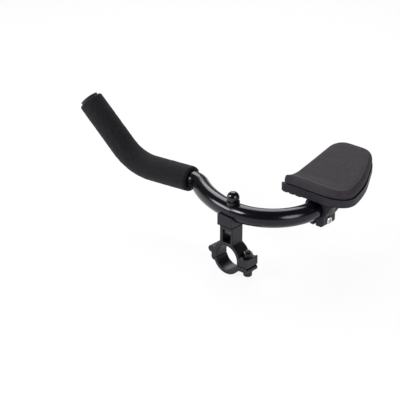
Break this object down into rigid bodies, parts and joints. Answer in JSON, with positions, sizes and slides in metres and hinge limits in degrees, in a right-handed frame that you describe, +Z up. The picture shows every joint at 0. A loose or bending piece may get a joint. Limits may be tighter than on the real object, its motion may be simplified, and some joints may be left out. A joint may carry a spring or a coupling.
{
  "type": "aero handlebar extension",
  "caption": "Right-hand aero handlebar extension: bent tube with a foam grip, hinged bar clamp under a riser, and a padded forearm rest on its rear end.",
  "frame": {"origin": "centre of the clamp's bore for the base bar, midway along its width", "axes": "+X forward, +Y along the base bar to the rider's left (inboard for this right-hand part), +Z up"},
  "size_m": [0.3606, 0.1775, 0.156],
  "materials": {
    "black_tube": "gloss black anodised",
    "cast_clamp": "satin black coat on a casting",
    "moulded_plastic": "dark grey satin",
    "plug_plastic": "black, slightly shiny",
    "grip_foam": "matte closed-cell foam",
    "pad_cloth": "knitted cloth over foam",
    "black_nut": "gloss black",
    "steel": "bright zinc",
    "dark_steel": "black oxide"
  },
  "bodies": {
    "frame": {"clamp_body": "cast_clamp", "clamp_jaw": "cast_clamp", "hinge_pin": "dark_steel", "clamp_bolt": "dark_steel", "clamp_washer": "dark_steel", "clamp_nut": "steel", "tube_saddle": "cast_clamp", "riser_bolt": "dark_steel", "crown_washer": "black_nut", "dome_nut": "black_nut", "extension_tube": "black_tube", "foam_grip": "grip_foam", "grip_end_plug": "plug_plastic", "rear_end_plug": "plug_plastic"},
    "armrest": {"armrest_bracket": "moulded_plastic", "bracket_bolt": "steel", "bracket_washer": "steel", "bracket_nut": "steel", "armrest_tray": "moulded_plastic", "tray_screws": "dark_steel", "arm_pad": "pad_cloth"}
  },
  "joints": [
    {"name": "armrest_tilt", "type": "hinge", "parent": "frame", "child": "armrest", "pos_m": [-0.0674, -0.07866, 0.0572], "axis": [0, 1, 0], "range_deg": [-15, 15]}
  ]
}
